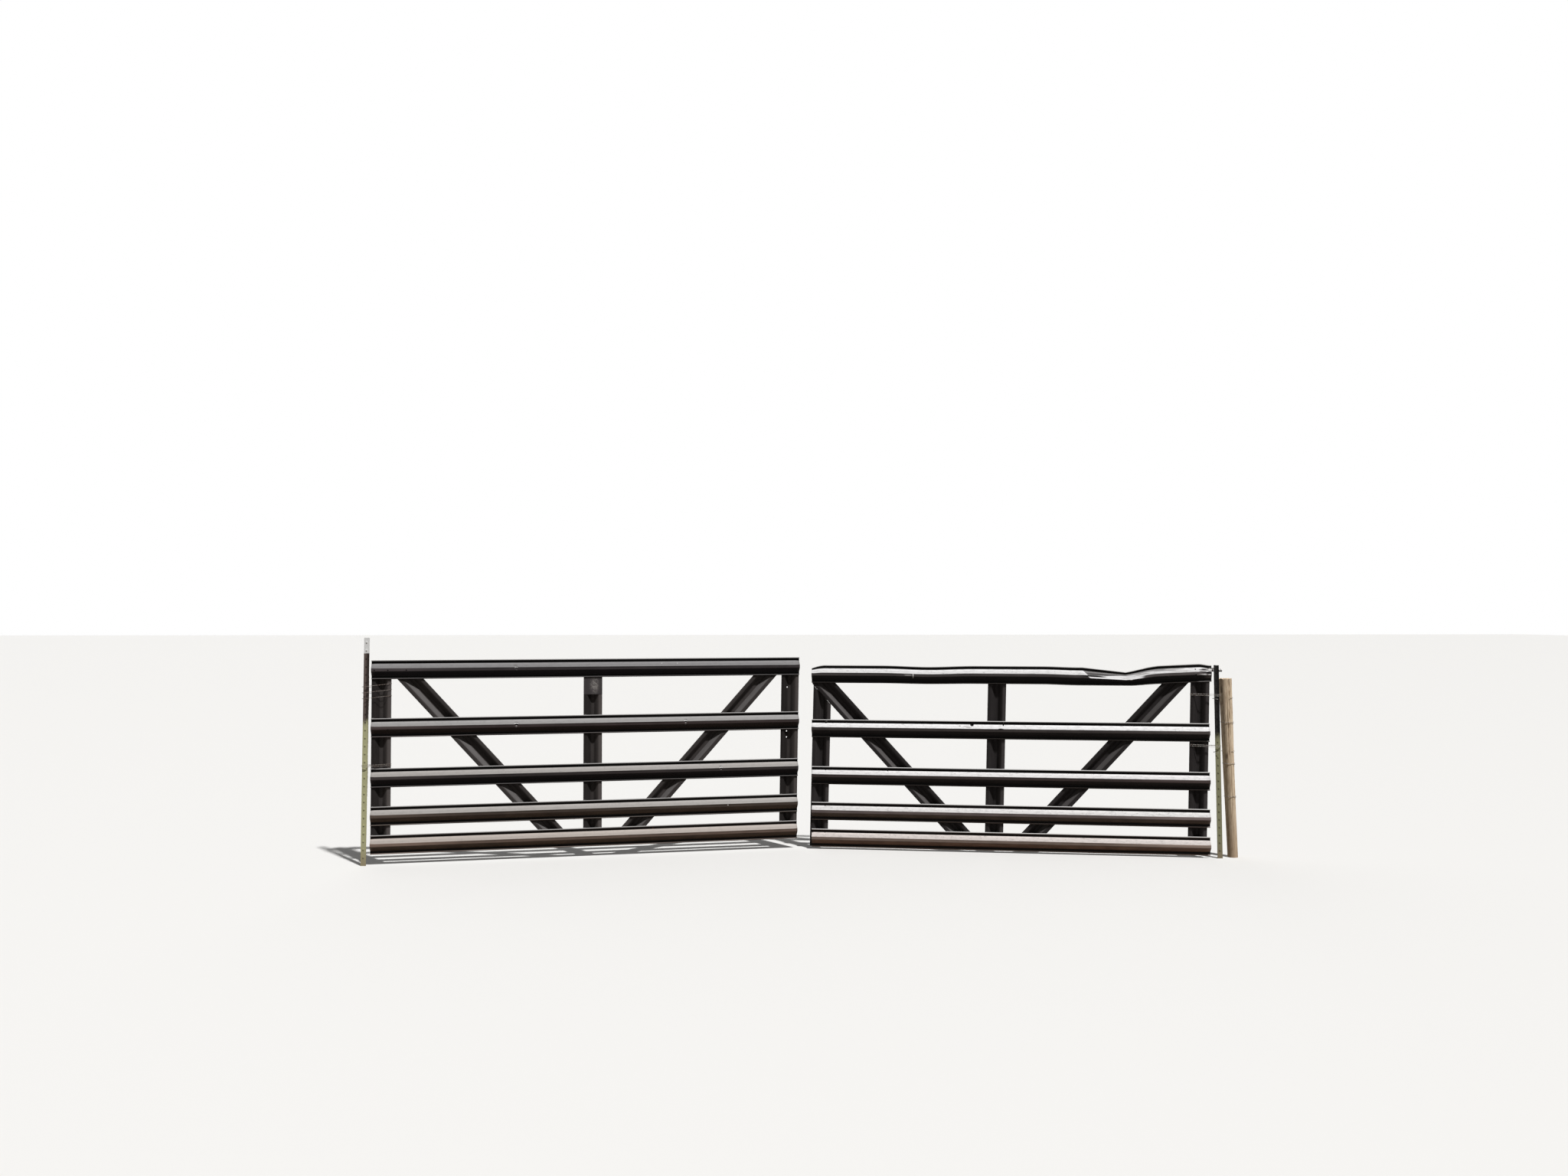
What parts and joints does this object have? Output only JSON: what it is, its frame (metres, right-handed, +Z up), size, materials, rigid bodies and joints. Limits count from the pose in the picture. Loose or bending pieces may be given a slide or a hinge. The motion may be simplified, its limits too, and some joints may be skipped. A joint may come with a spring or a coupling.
{
  "type": "pair of farm gates",
  "caption": "Double field gate of rolled steel rails on uprights and braces, each leaf hung with wire on a steel post, one post doubled by a wood post.",
  "frame": {"origin": "middle of the foot of the left steel post, on the ground", "axes": "+X from the left post to the right post, +Y away from the side the rails face, +Z up"},
  "size_m": [6.0706, 0.5299, 1.5461],
  "materials": {
    "rail_black": "worn black paint",
    "frame_black": "dull worn black paint",
    "post_steel": "faded paint, dark above and pale green below",
    "weathered_wood": "bare weathered wood",
    "tie_wire": "dull wire with rust"
  },
  "bodies": {
    "posts": {"left_t_post": "post_steel", "right_t_post": "post_steel", "wood_post": "weathered_wood", "upper_post_tie": "tie_wire", "lower_post_tie": "tie_wire", "post_wraps": "tie_wire"},
    "left_leaf": {"left_top_rail": "rail_black", "left_second_rail": "rail_black", "left_third_rail": "rail_black", "left_fourth_rail": "rail_black", "left_bottom_rail": "rail_black", "left_hinge_upright": "frame_black", "left_middle_upright": "frame_black", "left_free_upright": "frame_black", "left_hinge_brace": "frame_black", "left_free_brace": "frame_black", "left_bare_plate": "frame_black", "left_upper_tie": "tie_wire", "left_lower_tie": "tie_wire"},
    "right_leaf": {"right_top_rail": "rail_black", "right_second_rail": "rail_black", "right_third_rail": "rail_black", "right_fourth_rail": "rail_black", "right_bottom_rail": "rail_black", "right_hinge_upright": "frame_black", "right_middle_upright": "frame_black", "right_free_upright": "frame_black", "right_hinge_brace": "frame_black", "right_free_brace": "frame_black", "right_upper_tie": "tie_wire", "right_lower_tie": "tie_wire"}
  },
  "joints": [
    {"name": "left_hinge", "type": "hinge", "parent": "posts", "child": "left_leaf", "pos_m": [0.00833, 0, 0.954], "axis": [0, 0, 1], "range_deg": [-99, 80]},
    {"name": "right_hinge", "type": "hinge", "parent": "posts", "child": "right_leaf", "pos_m": [5.89532, 0, 0.9625], "axis": [0, 0, -1], "range_deg": [-99, 80]}
  ]
}
